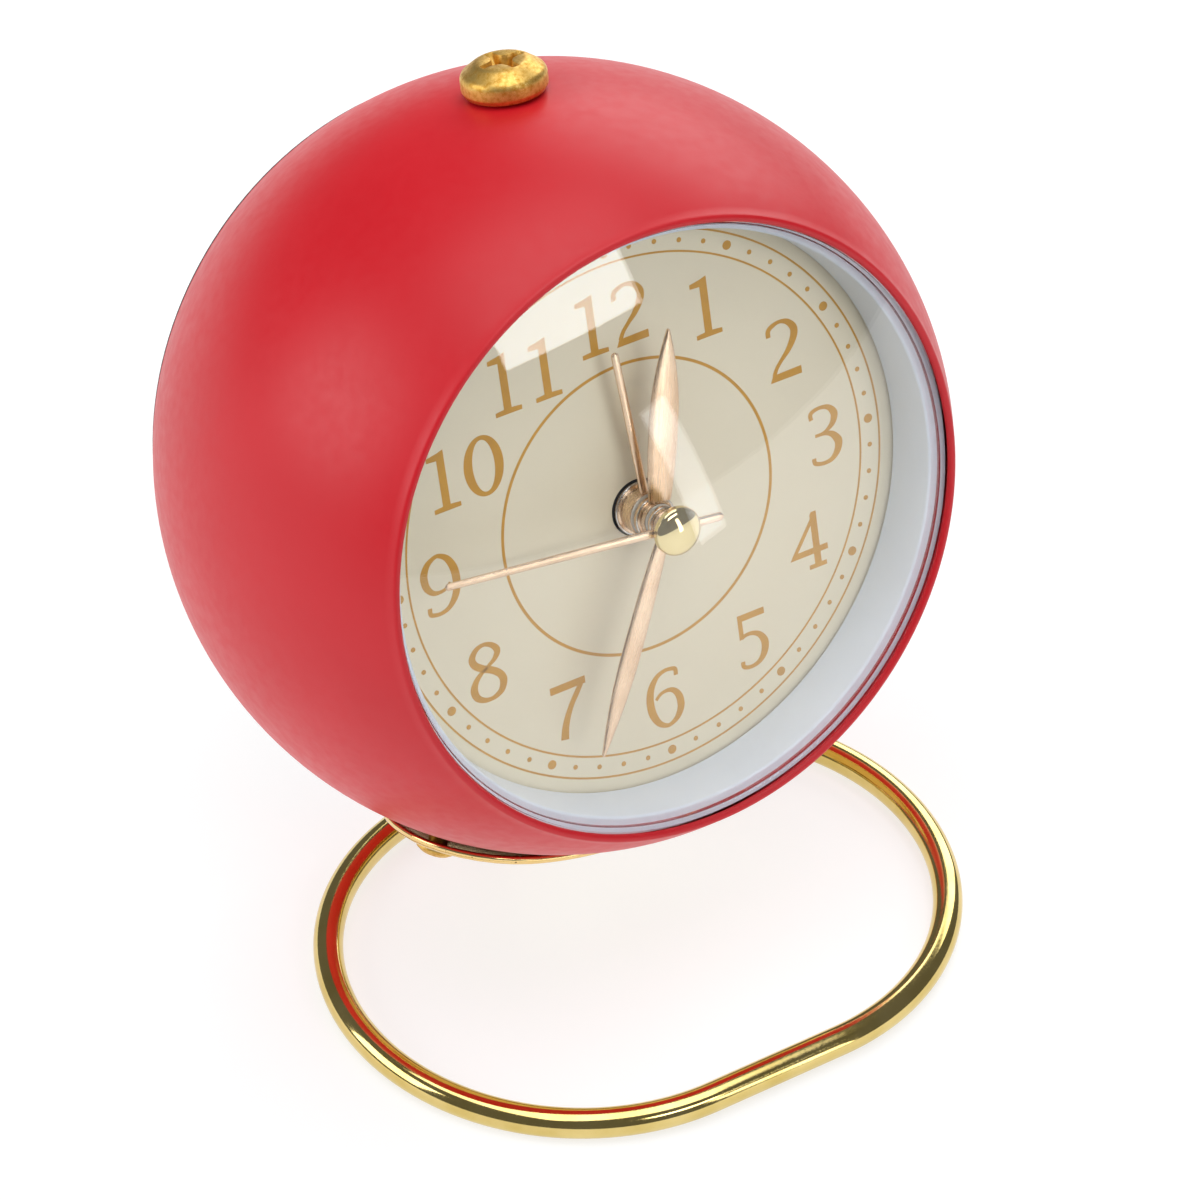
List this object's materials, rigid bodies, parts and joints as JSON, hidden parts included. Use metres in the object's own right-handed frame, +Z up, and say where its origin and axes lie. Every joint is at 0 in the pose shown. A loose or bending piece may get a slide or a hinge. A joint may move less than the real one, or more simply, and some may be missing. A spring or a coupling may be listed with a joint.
{
  "type": "alarm clock",
  "caption": "Round metal ball alarm clock with a slanted analogue dial under a domed window, rear setting knobs and a bent wire loop stand.",
  "frame": {"origin": "middle of the footprint on the table, under the clock", "axes": "+Z up, -Y towards the viewer of the dial, +X to the viewer's right"},
  "size_m": [0.102, 0.0968, 0.1187],
  "materials": {
    "red_paint": "satin baked enamel with a fine speckle and a soft sheen",
    "clear_lens": "clear polished moulding",
    "white_ring": "smooth white moulding",
    "dial_enamel": "cream satin lacquer with gold printing",
    "rose_gold": "fine brushed rose gold plating",
    "pale_gold": "polished pale gold plating",
    "stand_gold": "polished gold plating",
    "screw_gold": "uneven antique gold plating",
    "frame_plastic": "plain white moulding",
    "gear_plastic": "natural acetal",
    "black_plastic": "fine spark texture",
    "white_plastic": "smooth moulding",
    "steel": "nickel plated",
    "brass": "turned",
    "copper": "enamelled copper wire",
    "board_green": "solder mask over glass fibre",
    "battery_jacket": "printed film jacket with bare ends",
    "red_insulation": "soft vinyl",
    "black_insulation": "soft vinyl"
  },
  "bodies": {
    "root": {"ball_shell": "red_paint", "lens": "clear_lens", "reflector_ring": "white_ring", "dial": "dial_enamel", "inner_frame": "frame_plastic", "movement_front_case": "black_plastic", "movement_back_case": "black_plastic", "movement_screw_1": "steel", "movement_screw_2": "steel", "stator": "steel", "coil_core": "steel", "coil_bobbin": "black_plastic", "coil_winding": "copper", "circuit_board": "board_green", "quartz_crystal": "steel", "clock_chip": "black_plastic", "buzzer": "black_plastic", "alarm_contact": "brass", "rear_cover": "black_plastic", "rear_cover_screw_1": "steel", "rear_cover_screw_2": "steel", "rear_cover_screw_3": "steel", "battery": "battery_jacket", "battery_contact_positive": "steel", "battery_contact_negative": "steel", "lead_positive": "red_insulation", "lead_negative": "black_insulation", "top_screw": "screw_gold", "top_nut": "steel", "strap_screw_left": "screw_gold", "strap_nut_left": "steel", "strap_screw_right": "screw_gold", "strap_nut_right": "steel", "stand_strap": "stand_gold", "stand_wire": "stand_gold"},
    "minute": {"minute_wheel": "brass", "minute_hand": "rose_gold"},
    "hour": {"hour_wheel": "gear_plastic", "hour_hand": "rose_gold"},
    "second": {"second_wheel": "gear_plastic", "second_hand": "rose_gold", "hand_cap": "pale_gold"},
    "alarm": {"alarm_wheel": "gear_plastic", "alarm_hand": "rose_gold"},
    "motion": {"motion_wheel": "gear_plastic"},
    "third": {"third_wheel": "gear_plastic"},
    "intermediate": {"intermediate_wheel": "gear_plastic"},
    "rotor": {"rotor": "steel"},
    "time_knob": {"time_set_knob": "black_plastic"},
    "alarm_knob": {"alarm_set_knob": "black_plastic"},
    "switch": {"alarm_switch": "white_plastic"},
    "door": {"battery_door": "black_plastic"}
  },
  "joints": [
    {"name": "minute_turn", "type": "hinge", "parent": "root", "child": "minute", "pos_m": [0, 0.00968, 0.0644], "axis": [0, 0.9613, -0.2756], "continuous": true},
    {"name": "hour_turn", "type": "hinge", "parent": "root", "child": "hour", "pos_m": [0, 0.00968, 0.0644], "axis": [0, 0.9613, -0.2756], "continuous": true},
    {"name": "motion_turn", "type": "hinge", "parent": "root", "child": "motion", "pos_m": [-0.00965, 0.01015, 0.06604], "axis": [0, 0.9613, -0.2756], "continuous": true},
    {"name": "time_knob_turn", "type": "hinge", "parent": "root", "child": "time_knob", "pos_m": [-0.01485, 0.01263, 0.07469], "axis": [0, 0.9613, -0.2756], "continuous": true},
    {"name": "alarm_turn", "type": "hinge", "parent": "root", "child": "alarm", "pos_m": [0, 0.00968, 0.0644], "axis": [0, 0.9613, -0.2756], "continuous": true},
    {"name": "alarm_knob_turn", "type": "hinge", "parent": "root", "child": "alarm_knob", "pos_m": [0.01485, 0.01263, 0.07469], "axis": [0, 0.9613, -0.2756], "continuous": true},
    {"name": "rotor_turn", "type": "hinge", "parent": "root", "child": "rotor", "pos_m": [-0.00813, 0.00711, 0.05545], "axis": [0, 0.9613, -0.2756], "continuous": true},
    {"name": "intermediate_turn", "type": "hinge", "parent": "root", "child": "intermediate", "pos_m": [-0.00143, 0.00744, 0.05659], "axis": [0, 0.9613, -0.2756], "continuous": true},
    {"name": "second_turn", "type": "hinge", "parent": "root", "child": "second", "pos_m": [0, 0.00968, 0.0644], "axis": [0, 0.9613, -0.2756], "continuous": true},
    {"name": "third_turn", "type": "hinge", "parent": "root", "child": "third", "pos_m": [0.01005, 0.00894, 0.06181], "axis": [0, 0.9613, -0.2756], "continuous": true},
    {"name": "switch_slide", "type": "slide", "parent": "root", "child": "switch", "axis": [1, 0, 0], "range_m": [0, 0.004]},
    {"name": "door_hinge", "type": "hinge", "parent": "root", "child": "door", "pos_m": [0, 0.02693, 0.03386], "axis": [-1, 0, 0], "range_deg": [0, 75]}
  ],
  "couplings": [
    {"joint": "hour_turn", "follows": "minute_turn", "ratio": 0.083333},
    {"joint": "motion_turn", "follows": "minute_turn", "ratio": -0.25},
    {"joint": "time_knob_turn", "follows": "minute_turn", "ratio": 0.8},
    {"joint": "alarm_knob_turn", "follows": "alarm_turn", "ratio": -3.6},
    {"joint": "intermediate_turn", "follows": "second_turn", "ratio": -6},
    {"joint": "rotor_turn", "follows": "second_turn", "ratio": 30},
    {"joint": "third_turn", "follows": "second_turn", "ratio": -0.13333}
  ]
}
